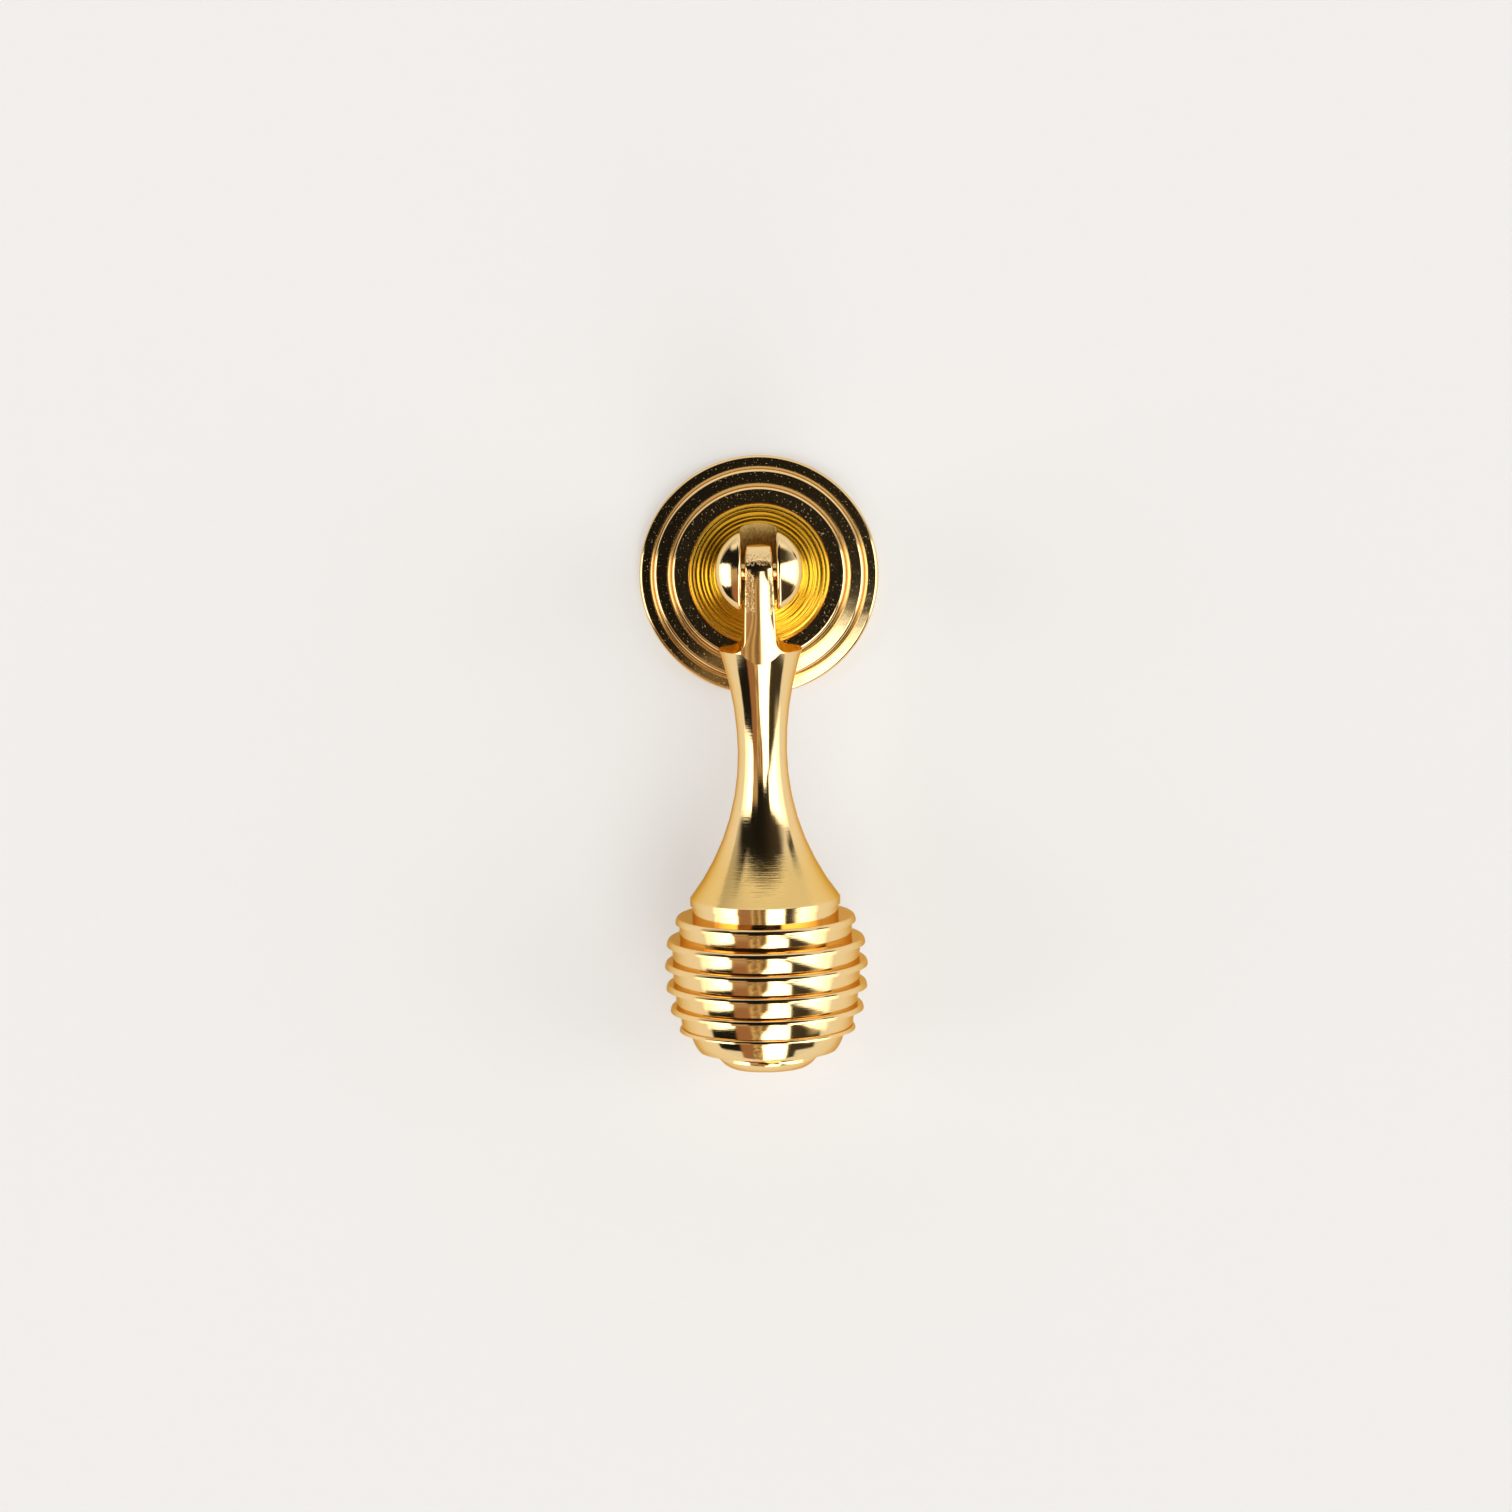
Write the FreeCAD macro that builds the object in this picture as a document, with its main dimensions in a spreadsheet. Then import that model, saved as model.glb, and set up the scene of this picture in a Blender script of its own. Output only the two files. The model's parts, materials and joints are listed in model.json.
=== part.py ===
import FreeCAD, Part
import math
import os
import Sketcher

# Drop pull: stepped round backplate, slotted ball post, cross pin and beehive drop, in millimetres.
# The back of the plate lies in the plane y = 0, the front faces -Y and the post stands on the Y axis.

doc = FreeCAD.newDocument("drop_pull")
sheet = doc.addObject("Spreadsheet::Sheet", "sizes")

SIZES = (
    # Backplate, radii and heights above the drawer front.
    ("plate_radius", 14.3), ("base_height", 1.5), ("rim_round", 0.4),
    ("low_cove_foot", 13.15), ("low_cove", 0.55), ("low_nose", 0.45), ("low_rise", 1.5),
    ("high_cove_foot", 11.1), ("high_cove", 0.7), ("high_nose", 0.4), ("high_rise", 1.5),
    ("dish_lip", 8.5), ("dish_floor_radius", 7.75), ("dish_floor_height", 2.4),
    # Ball post.
    ("pivot_height", 19.6), ("head_radius", 5.15), ("belt_front", 1.2), ("belt_back", 1.3),
    ("dome_depth", 2.45), ("dome_edge", 1.5), ("web_reach", 5.71), ("web_end_reach", 5.33), ("web_lap", 0.2),
    ("stem_radius", 3.6), ("spigot_radius", 2.6), ("bore_gap", 0.05),
    ("tap_radius", 1.65), ("tap_depth", 10.0), ("drill_point", 0.9),
    ("slot_side_gap", 0.3), ("slot_floor_gap", 0.25),
    # Cross pin.
    ("pin_radius", 1.0), ("pin_inset", 0.1), ("pin_play", 0.05),
    # Tang and collar of the drop, measured down its own axis from the pin.
    ("eye_radius", 3.3), ("tang_flare", 6.6), ("tang_top_half", 1.53), ("tang_foot_half", 1.9),
    ("tang_fillet", 1.4), ("shoulder_drop", 9.2), ("rim_radius", 4.95), ("flat_run", 3.0),
    # Neck and skirt.
    ("neck_length", 12.2), ("waist_radius", 2.9), ("skirt_length", 17.5), ("skirt_radius", 8.9),
    ("skirt_land", 0.75), ("band_radius", 8.65), ("band_height", 1.41),
    # Beehive rings from the top down: crest radius, height, height of the bead that leads each ring,
    # rounding of the bead's top, undercut below the bead, draw-in from the crest to the next ring.
    ("ring_one_crest", 10.7), ("ring_one_height", 2.65), ("ring_one_bead", 0.75),
    ("ring_one_nose", 0.35), ("ring_one_undercut", 0.5), ("ring_one_draw", 0.65),
    ("ring_two_crest", 11.77), ("ring_two_height", 2.67), ("ring_two_bead", 0.75),
    ("ring_two_nose", 0.35), ("ring_two_undercut", 0.7), ("ring_two_draw", 0.85),
    ("ring_three_crest", 12.03), ("ring_three_height", 2.63), ("ring_three_bead", 0.7),
    ("ring_three_nose", 0.3), ("ring_three_undercut", 1.0), ("ring_three_draw", 1.15),
    ("ring_four_crest", 11.92), ("ring_four_height", 2.71), ("ring_four_bead", 0.7),
    ("ring_four_nose", 0.3), ("ring_four_undercut", 1.15), ("ring_four_draw", 1.35),
    ("ring_five_crest", 11.46), ("ring_five_height", 2.57), ("ring_five_bead", 0.65),
    ("ring_five_nose", 0.3), ("ring_five_undercut", 1.2), ("ring_five_draw", 1.6),
    ("ring_six_crest", 10.43), ("ring_six_height", 2.88), ("ring_six_bead", 0.45),
    ("ring_six_nose", 0.25), ("ring_six_undercut", 1.3), ("ring_six_draw", 2.23),
    ("tip_crest", 5.85), ("tip_height", 1.99), ("tip_bead", 0.95),
    ("tip_nose", 0.45), ("tip_undercut", 0.05), ("tip_draw", 1.25),
    ("bead_turn", 28.0), ("wall_bulge", 4.0), ("low_wall_bulge", 1.6),
    ("rest_gap", 0.1), ("cut_margin", 1.0),
)
for row, (alias, number) in enumerate(SIZES, start=1):
    sheet.set("A%d" % row, alias)
    sheet.set("B%d" % row, str(number))
    sheet.setAlias("B%d" % row, alias)
doc.recompute()


class Size:
    """A length or angle kept both as its number and as the expression that gives it from the sheet."""

    def __init__(self, value, text):
        self.value, self.text = value, text

    @staticmethod
    def of(other):
        return other if isinstance(other, Size) else Size(float(other), repr(other))

    def join(self, sign, other, value):
        return Size(value, "(%s %s %s)" % (self.text, sign, Size.of(other).text))

    def __add__(self, other):
        return self.join("+", other, self.value + Size.of(other).value)

    def __sub__(self, other):
        return self.join("-", other, self.value - Size.of(other).value)

    def __mul__(self, other):
        return self.join("*", other, self.value * Size.of(other).value)

    def __truediv__(self, other):
        return self.join("/", other, self.value / Size.of(other).value)

    def __neg__(self):
        return Size(-self.value, "(-%s)" % self.text)

    def root(self):
        return Size(math.sqrt(self.value), "sqrt(%s)" % self.text)

    def sine(self):
        return Size(math.sin(math.radians(self.value)), "sin(%s * 1 deg)" % self.text)

    def cosine(self):
        return Size(math.cos(math.radians(self.value)), "cos(%s * 1 deg)" % self.text)

    def tangent(self):
        return self.sine() / self.cosine()


def named(alias):
    return Size(sheet.get(alias), "sizes." + alias)


def angle_of(name, value, *parts):
    """An inverse trigonometric function of sizes, as a plain number of degrees."""
    return Size(math.degrees(value), "(%s(%s) / 1 deg)" % (name, "; ".join(part.text for part in parts)))


ZERO = Size(0.0, "0")


def plane(body, role):
    return next(feature for feature in body.Origin.OriginFeatures if feature.Role == role)


def new_body(label):
    body = doc.addObject("PartDesign::Body", label)
    body.Label = label
    return body


def new_sketch(body, name, role, along=None, shift=None):
    """A sketch on one of the body's own planes, its origin shifted along one sketch axis by a size."""
    sketch = body.newObject("Sketcher::SketchObject", name)
    sketch.AttachmentSupport = [(plane(body, role), "")]
    sketch.MapMode = "FlatFace"
    if along:
        sketch.setExpression("AttachmentOffset.Base." + along, shift.text)
    return sketch


def bind(sketch, kind, *place, size):
    index = sketch.addConstraint(Sketcher.Constraint(kind, *place, size.value))
    sketch.setExpression("Constraints[%d]" % index, size.text)


def draw_outline(sketch, corners):
    """Close a wire through corners given as (x, y, arc), arc being a signed radius to the next corner or None.

    A positive radius bulges to the right of the way from one corner to the next, a negative one to the left.
    """
    ends, count = [], len(corners)
    for number, (x, y, arc) in enumerate(corners):
        far_x, far_y, _ = corners[(number + 1) % count]
        first = FreeCAD.Vector(x.value, y.value, 0)
        last = FreeCAD.Vector(far_x.value, far_y.value, 0)
        if arc is None:
            index = sketch.addGeometry(Part.LineSegment(first, last))
            ends.append((index, 1, 2))
            continue
        radius, chord = abs(arc.value), last - first
        height = math.sqrt(max(radius ** 2 - (chord.Length / 2) ** 2, 0.0))
        left = FreeCAD.Vector(-chord.y, chord.x, 0).normalize()
        side = 1 if arc.value > 0 else -1
        centre = (first + last) / 2 + left * height * side
        circle = Part.Circle(centre, FreeCAD.Vector(0, 0, 1), radius)
        turn = [math.atan2(end.y - centre.y, end.x - centre.x) for end in (first, last)]
        order = turn if side > 0 else turn[::-1]
        index = sketch.addGeometry(Part.ArcOfCircle(circle, *order))
        ends.append((index, 1, 2) if side > 0 else (index, 2, 1))
    for number, (x, y, arc) in enumerate(corners):
        index, start, end = ends[number]
        following, next_start, _ = ends[(number + 1) % count]
        sketch.addConstraint(Sketcher.Constraint("Coincident", index, end, following, next_start))
        bind(sketch, "DistanceX", index, start, size=x)
        bind(sketch, "DistanceY", index, start, size=y)
        if arc is not None:
            bind(sketch, "Radius", index, size=arc if arc.value > 0 else -arc)


def draw_circle(sketch, radius):
    index = sketch.addGeometry(Part.Circle(FreeCAD.Vector(), FreeCAD.Vector(0, 0, 1), radius.value))
    sketch.addConstraint(Sketcher.Constraint("Coincident", index, 3, -1, 1))
    bind(sketch, "Radius", index, size=radius)


def turned(body, name, sketch, axis, angle=360, reverse=False):
    feature = body.newObject("PartDesign::Revolution", name)
    feature.Profile = sketch
    feature.ReferenceAxis = (sketch, [axis])
    feature.Angle = angle
    feature.Reversed = reverse
    doc.recompute()
    return feature


def straight(body, kind, name, sketch, length):
    """A pad or pocket that reaches equally to both sides of its sketch."""
    before = body.Shape.Volume if body.Shape.Solids else 0.0
    feature = body.newObject("PartDesign::" + kind, name)
    feature.Profile = sketch
    feature.Midplane = True
    feature.setExpression("Length", length.text)
    doc.recompute()
    changed = body.Shape.Volume - before
    if (kind == "Pocket") != (changed < 0):
        raise RuntimeError(name + " changed nothing")
    return feature


# Backplate: one turned profile of two coved steps and a dish.
plate_radius, rim_round = named("plate_radius"), named("rim_round")
base_top = named("base_height")
middle_top = base_top + named("low_rise")
plate_top = middle_top + named("high_rise")
low_foot, low_cove, low_nose = named("low_cove_foot"), named("low_cove"), named("low_nose")
high_foot, high_cove, high_nose = named("high_cove_foot"), named("high_cove"), named("high_nose")
dish_floor = named("dish_floor_height")
spigot_radius = named("spigot_radius")
bore_radius = spigot_radius + named("bore_gap")

backplate = new_body("backplate")
sketch = new_sketch(backplate, "plate_profile", "XY_Plane")
draw_outline(sketch, [
    (bore_radius, ZERO, None),
    (bore_radius, -dish_floor, None),
    (named("dish_floor_radius"), -dish_floor, None),
    (named("dish_lip"), -plate_top, None),
    (high_foot - high_cove - high_nose, -plate_top, high_nose),
    (high_foot - high_cove, -(plate_top - high_nose), None),
    (high_foot - high_cove, -(middle_top + high_cove), -high_cove),
    (high_foot, -middle_top, None),
    (low_foot - low_cove - low_nose, -middle_top, low_nose),
    (low_foot - low_cove, -(middle_top - low_nose), None),
    (low_foot - low_cove, -(base_top + low_cove), -low_cove),
    (low_foot, -base_top, None),
    (plate_radius - rim_round, -base_top, rim_round),
    (plate_radius, -(base_top - rim_round), None),
    (plate_radius, ZERO, None),
])
turned(backplate, "plate_turning", sketch, "V_Axis")

# Drop: axial places measured down from the pin.
eye_radius, tang_flare = named("eye_radius"), named("tang_flare")
shoulder, rim_radius = named("shoulder_drop"), named("rim_radius")
waist_radius, neck_length = named("waist_radius"), named("neck_length")
skirt_radius, skirt_length = named("skirt_radius"), named("skirt_length")
waist = shoulder + neck_length
skirt_edge = waist + skirt_length
margin = named("cut_margin")


def tangent_arc(run, rise):
    """Radius of the arc that starts along the axis and moves out by rise over run."""
    return (run * run + rise * rise) / (rise * 2)


blank_top = eye_radius + margin
place = skirt_edge + named("skirt_land")
profile = [
    (ZERO, blank_top, None),
    (rim_radius, blank_top, None),
    (rim_radius, -shoulder, tangent_arc(neck_length, rim_radius - waist_radius)),
    (waist_radius, -waist, tangent_arc(skirt_length, skirt_radius - waist_radius)),
    (skirt_radius, -skirt_edge, None),
    (skirt_radius, -place, None),
    (named("band_radius"), -place, None),
]
place = place + named("band_height")
profile.append((named("band_radius"), -place, None))
UPPER_RINGS = ("ring_one", "ring_two", "ring_three", "ring_four", "ring_five")
LOWER_RINGS = ("ring_six", "tip")
bead_sine, bead_cosine = named("bead_turn").sine(), named("bead_turn").cosine()
crests = {}
for ring in UPPER_RINGS + LOWER_RINGS:
    crest, height, draw = named(ring + "_crest"), named(ring + "_height"), named(ring + "_draw")
    bead, nose = named(ring + "_bead"), named(ring + "_nose")
    undercut = named(ring + "_undercut")
    bulge = named("wall_bulge" if ring in UPPER_RINGS else "low_wall_bulge")
    turn_place = nose - nose * bead_sine
    face = (bead - turn_place) / bead_sine
    turn_radius = crest - (face - face * bead_cosine)
    run, fall = height - bead, draw - undercut
    chord = (run * run + fall * fall).root()
    profile += [
        (turn_radius - nose * bead_cosine, -place, -nose),
        (turn_radius, -(place + turn_place), -face),
        (crest, -(place + bead), None),
        (crest - undercut, -(place + bead), -(bulge * chord)),
    ]
    crests[ring] = (crest, place + bead)
    place = place + height
    profile.append((crest - draw, -place, None))
drop_end = place
profile.append((ZERO, -drop_end, None))

drop = new_body("drop")
sketch = new_sketch(drop, "drop_profile", "XZ_Plane")
draw_outline(sketch, profile)
turned(drop, "drop_turning", sketch, "V_Axis")

# The tang's eye and its two flared faces, milled across the turned blank and into the collar.
flat_low = shoulder + named("flat_run")
flat_sine, flat_cosine = tang_flare.sine(), tang_flare.cosine()
flat_depth = (eye_radius + flat_low * flat_sine) / flat_cosine
reach = flat_depth + margin
sketch = new_sketch(drop, "tang_faces", "YZ_Plane")
draw_outline(sketch, [
    (flat_depth, -flat_low, None),
    (eye_radius * flat_cosine, eye_radius * flat_sine, eye_radius),
    (-(eye_radius * flat_cosine), eye_radius * flat_sine, None),
    (-flat_depth, -flat_low, None),
    (-reach, -flat_low, None),
    (-reach, blank_top + margin, None),
    (reach, blank_top + margin, None),
    (reach, -flat_low, None),
])
straight(drop, "Pocket", "tang_facing", sketch, (rim_radius + margin) * 2)

# The tang's sides, tapered and filleted into the collar's top.
top_half, foot_half, fillet = named("tang_top_half"), named("tang_foot_half"), named("tang_fillet")
outside = rim_radius + margin
for side_name, flip in (("right", False), ("left", True)):
    corners = [
        (top_half, blank_top + margin, None),
        (foot_half, -(shoulder - fillet), fillet),
        (foot_half + fillet, -shoulder, None),
        (outside, -shoulder, None),
        (outside, blank_top + margin, None),
    ]
    if flip:
        corners = [(-x, y, arc if arc is None else -arc) for x, y, arc in corners]
    sketch = new_sketch(drop, "tang_%s_side" % side_name, "XZ_Plane")
    draw_outline(sketch, corners)
    straight(drop, "Pocket", "tang_%s_milling" % side_name, sketch, reach * 2)

pin_radius = named("pin_radius")
sketch = new_sketch(drop, "eye_hole", "YZ_Plane")
draw_circle(sketch, pin_radius + named("pin_play"))
straight(drop, "Pocket", "eye_drilling", sketch, outside * 2)

# The drop leans back on its pin until the fourth ring meets the drawer front.
pivot_height = named("pivot_height")
rest_radius, rest_place = crests["ring_four"]
span = (rest_radius * rest_radius + rest_place * rest_place).root()
rest_share = (pivot_height - named("rest_gap")) / span
lean = (angle_of("atan2", math.atan2(rest_place.value, rest_radius.value), rest_place, rest_radius)
        - angle_of("acos", math.acos(rest_share.value), rest_share))
drop.Placement = FreeCAD.Placement(FreeCAD.Vector(0, -pivot_height.value, 0),
                                   FreeCAD.Rotation(FreeCAD.Vector(1, 0, 0), lean.value))
drop.setExpression("Placement.Base.y", "-" + pivot_height.text)
drop.setExpression("Placement.Rotation.Angle", lean.text)

# Ball post: a spigot, a tapped hole, the stem and a head with a belt round the pin and a shallow domed front.
head_radius, dome_depth, dome_edge = named("head_radius"), named("dome_depth"), named("dome_edge")
belt_front, belt_back = pivot_height + named("belt_front"), pivot_height - named("belt_back")
stem_radius = named("stem_radius")
tap_radius, tap_end = named("tap_radius"), named("tap_depth")
edge_centre = head_radius - dome_edge
crown = (edge_centre * edge_centre + dome_depth * dome_depth - dome_edge * dome_edge) / (
    (dome_depth - dome_edge) * 2)
edge_share = crown / (crown - dome_edge)
dome_radius = edge_centre * edge_share
dome_place = belt_front + (crown - dome_depth) * (edge_share - 1)
head_back = belt_back - (head_radius * head_radius - stem_radius * stem_radius).root()
ball_post = new_body("ball_post")
sketch = new_sketch(ball_post, "post_profile", "XY_Plane")
draw_outline(sketch, [
    (tap_radius, ZERO, None),
    (spigot_radius, ZERO, None),
    (spigot_radius, -dish_floor, None),
    (stem_radius, -dish_floor, None),
    (stem_radius, -head_back, -head_radius),
    (head_radius, -belt_back, None),
    (head_radius, -belt_front, -dome_edge),
    (dome_radius, -dome_place, -crown),
    (ZERO, -(belt_front + dome_depth), None),
    (ZERO, -(tap_end + named("drill_point")), None),
    (tap_radius, -tap_end, None),
])
turned(ball_post, "post_turning", sketch, "V_Axis")

# Web behind the slot, standing proud of the head at the slot's upper end.
web_reach, web_end = named("web_reach"), named("web_end_reach")
slope = tang_flare + lean
slot_floor = eye_radius / slope.cosine() + stem_radius * slope.tangent() + named("slot_floor_gap")
tang_at_head = top_half + (foot_half - top_half) * (
    (blank_top + margin + web_reach) / (blank_top + margin + shoulder - fillet))
slot_half = tang_at_head + named("slot_side_gap")
web_half = slot_half + named("web_lap")
web_rise = web_reach - web_end
web_arc = (web_half * web_half + web_rise * web_rise) / (web_rise * 2)
sketch = new_sketch(ball_post, "web_profile", "XY_Plane", "y", -pivot_height)
draw_outline(sketch, [
    (web_half, ZERO, None),
    (web_half, web_end, web_arc),
    (-web_half, web_end, None),
    (-web_half, ZERO, None),
])
turned(ball_post, "web_turning", sketch, "H_Axis", 90)

# Slot for the tang: flat floor below the pin, run out by the round cutter above it.
cutter = (web_reach * web_reach + slot_floor * slot_floor) / (slot_floor * 2)
clear = web_reach + margin
sketch = new_sketch(ball_post, "slot_outline", "YZ_Plane", "x", -pivot_height)
draw_outline(sketch, [
    (-clear, -clear, None),
    (slot_floor, -clear, None),
    (slot_floor, ZERO, cutter),
    (slot_floor - cutter, cutter, None),
    (-clear, cutter, None),
])
straight(ball_post, "Pocket", "slot_milling", sketch, slot_half * 2)

sketch = new_sketch(ball_post, "ear_hole", "YZ_Plane", "x", -pivot_height)
draw_circle(sketch, pin_radius)
straight(ball_post, "Pocket", "ear_drilling", sketch, clear * 2)

# Cross pin, pressed into both ears.
pivot_pin = new_body("pivot_pin")
sketch = new_sketch(pivot_pin, "pin_section", "YZ_Plane", "x", -pivot_height)
draw_circle(sketch, pin_radius)
straight(pivot_pin, "Pad", "pin_length", sketch, (head_radius - named("pin_inset")) * 2)

doc.recompute()
for item in doc.Objects:
    if "Invalid" in item.State or "Error" in item.State:
        raise RuntimeError("%s failed: %s" % (item.Name, item.State))
pieces = (backplate, ball_post, pivot_pin, drop)
for piece in pieces:
    if piece.Shape.isNull() or not piece.Shape.isValid() or len(piece.Shape.Solids) != 1:
        raise RuntimeError(piece.Label + " is not one valid solid")
os.makedirs("parts", exist_ok=True)
for piece in pieces:
    piece.Shape.exportStep("parts/%s.step" % piece.Label)
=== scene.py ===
import json
import math

import bpy
import numpy as np
from mathutils import Matrix

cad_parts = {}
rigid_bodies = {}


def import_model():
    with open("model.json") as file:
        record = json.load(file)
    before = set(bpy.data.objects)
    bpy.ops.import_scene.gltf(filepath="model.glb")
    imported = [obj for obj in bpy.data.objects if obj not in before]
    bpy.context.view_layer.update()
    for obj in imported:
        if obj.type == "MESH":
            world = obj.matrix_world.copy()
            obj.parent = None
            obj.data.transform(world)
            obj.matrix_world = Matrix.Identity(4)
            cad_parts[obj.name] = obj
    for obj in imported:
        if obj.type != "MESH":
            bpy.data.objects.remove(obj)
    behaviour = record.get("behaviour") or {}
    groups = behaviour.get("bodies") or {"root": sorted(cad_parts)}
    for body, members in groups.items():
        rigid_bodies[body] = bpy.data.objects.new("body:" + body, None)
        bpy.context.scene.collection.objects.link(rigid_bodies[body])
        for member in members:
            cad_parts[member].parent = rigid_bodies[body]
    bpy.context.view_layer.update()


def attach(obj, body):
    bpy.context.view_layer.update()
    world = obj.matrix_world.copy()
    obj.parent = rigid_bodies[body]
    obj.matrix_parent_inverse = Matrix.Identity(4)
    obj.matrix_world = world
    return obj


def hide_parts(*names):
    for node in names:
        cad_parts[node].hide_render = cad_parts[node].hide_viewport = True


# Only what the frame brings is wanted.
for leftover in list(bpy.data.objects):
    bpy.data.objects.remove(leftover)
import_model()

# Sizes in millimetres, as the solids have them, apart from the pin's chamfer, which is the scene's own,
# and the draw-in of the first five rings, which is up to 0.25 less here, so that their walls stand upright.
MM = 0.001
PIVOT_HEIGHT = 19.6
PLATE_RADIUS, RIM_ROUND, BASE_TOP, MIDDLE_TOP, PLATE_TOP = 14.3, 0.4, 1.5, 3.0, 4.5
LOW_FOOT, LOW_COVE, LOW_NOSE = 13.15, 0.55, 0.45
HIGH_FOOT, HIGH_COVE, HIGH_NOSE = 11.1, 0.7, 0.4
DISH_LIP, DISH_FLOOR_RADIUS, DISH_FLOOR = 8.5, 7.75, 2.4
SPIGOT_RADIUS, BORE_GAP, STEM_RADIUS = 2.6, 0.05, 3.6
TAP_RADIUS, TAP_DEPTH, DRILL_POINT = 1.65, 10.0, 0.9
HEAD_RADIUS, BELT_FRONT, BELT_BACK, DOME_DEPTH, DOME_EDGE = 5.15, 1.2, 1.3, 2.45, 1.5
WEB_REACH, WEB_END_REACH, WEB_LAP = 5.71, 5.33, 0.2
SLOT_SIDE_GAP, SLOT_FLOOR_GAP = 0.3, 0.25
PIN_RADIUS, PIN_INSET, PIN_PLAY, PIN_CHAMFER = 1.0, 0.1, 0.05, 0.12
EYE_RADIUS, TANG_FLARE = 3.3, math.radians(6.6)
TANG_TOP, TANG_TOP_HALF, TANG_FOOT_HALF, TANG_FILLET = -5.3, 1.53, 1.9, 1.4
SHOULDER, RIM_RADIUS, NECK_LENGTH, WAIST_RADIUS = 9.2, 4.95, 12.2, 2.9
SKIRT_LENGTH, SKIRT_RADIUS, SKIRT_LAND = 17.5, 8.9, 0.75
BAND_RADIUS, BAND_HEIGHT = 8.65, 1.41
# Each ring from the skirt down: crest radius, height, height of its bead, rounding of the bead's top,
# undercut below the bead, draw-in to the next ring, and how many times its wall's height the wall's arc is.
RINGS = (
    (10.7, 2.65, 0.75, 0.35, 0.5, 0.55, 4.0),
    (11.77, 2.67, 0.75, 0.35, 0.7, 0.72, 4.0),
    (12.03, 2.63, 0.7, 0.3, 1.0, 1.02, 4.0),
    (11.92, 2.71, 0.7, 0.3, 1.15, 1.22, 4.0),
    (11.46, 2.57, 0.65, 0.3, 1.2, 1.35, 4.0),
    (10.43, 2.88, 0.45, 0.25, 1.3, 2.23, 1.6),
    (5.85, 1.99, 0.95, 0.45, 0.05, 1.25, 1.6),
)
BEAD_TURN = math.radians(28)
RESTING_RING, REST_GAP = 3, 0.1

# What the scene adds to the solids: the fall of the plate's two lower flats, the slot's rounded edges,
# the thread, and the tang's rounded edges and crowned faces.
FLAT_FALL = math.tan(math.radians(3.7))
SLOT_ROUND, ROUND_FADE, LEAST_BAND = 0.42, 0.3, 0.02
THREAD_PITCH, THREAD_HEIGHT, THREAD_STEEP, THREAD_FLAT, THREAD_FADE = 0.7, 0.33, 1.3, 0.15, 1.5
MOUTH_GAP, STEM_LAP = 0.06, 0.06
TANG_EDGE, EDGE_FADE, JOIN_GAP = 0.3, 1.3, 0.2
TANG_CROWN, CROWN_FADE = 5.0, (4.5, 8.6)
# How far the tang's shading leans down from its faces, and from where, and how it rolls across the collar.
TANG_EASE, EASE_OVER, COLLAR_BEND = math.radians(5), (-0.4, 1.6), 0.1

WAIST = SHOULDER + NECK_LENGTH
SKIRT_EDGE = WAIST + SKIRT_LENGTH
LEDGE = SKIRT_EDGE + SKIRT_LAND + BAND_HEIGHT
TANG_FOOT = SHOULDER - TANG_FILLET
FLAT_SINE, FLAT_COSINE = math.sin(TANG_FLARE), math.cos(TANG_FLARE)

# The drop leans back until the fourth ring's crest is the rest gap off the drawer front.
rest_crest = RINGS[RESTING_RING][0]
rest_place = LEDGE + sum(ring[1] for ring in RINGS[:RESTING_RING]) + RINGS[RESTING_RING][2]
LEAN = math.atan2(rest_place, rest_crest) - math.acos(
    (PIVOT_HEIGHT - REST_GAP) / math.hypot(rest_crest, rest_place))

# How finely the surfaces are cut: columns round a quarter turn and round a slim piece, and an arc's step.
QUARTER, SHOULDER_COLUMNS, SLIM_COLUMNS = 72, 48, 96
ARC_STEP, LEAST_ARC_POINTS = math.radians(6), 5
# Rows down the tang: collar, horns, quarter round, flank, top of the face, and the eye.
COLLAR_ROWS, HORN_ROWS, FILLET_ROWS, FLANK_ROWS, TOP_ROWS, EYE_ROWS = 24, 8, 18, 14, 8, 49
SIDE_TOP, FACE_COLUMNS, EDGE_COLUMNS = 2.5, 15, 9
# Points round the pin on the slot's floor and on an ear, across an ear and its rounded edge, across the slot.
CORE_POINTS, EAR_POINTS, EAR_COLUMNS, ROUND_COLUMNS, CORE_COLUMNS = 97, 241, 57, 9, 41
THREAD_ROWS = 171
# How often a search halves its stretch, and how far two searches look.
HALVINGS, REACH_LIMIT, RUN_OUT_LIMIT = 60, 9.0, 3.0

# Where a shape's own two across directions and its along direction lie in the row frame, and its origin.
PLATE_PLACE = (np.array([(1, 0, 0), (0, 0, 1), (0, 1, 0)], float), np.zeros(3))
PIN_PLACE = (
    np.array([(0, 1, 0), (0, 0, 1), (1, 0, 0)], float),
    np.array((0, -PIVOT_HEIGHT, 0), float),
)
DROP_PLACE = (
    np.array([(1, 0, 0), (0, math.cos(LEAN), math.sin(LEAN)), (0, -math.sin(LEAN), math.cos(LEAN))], float),
    np.array((0, -PIVOT_HEIGHT, 0), float),
)


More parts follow.
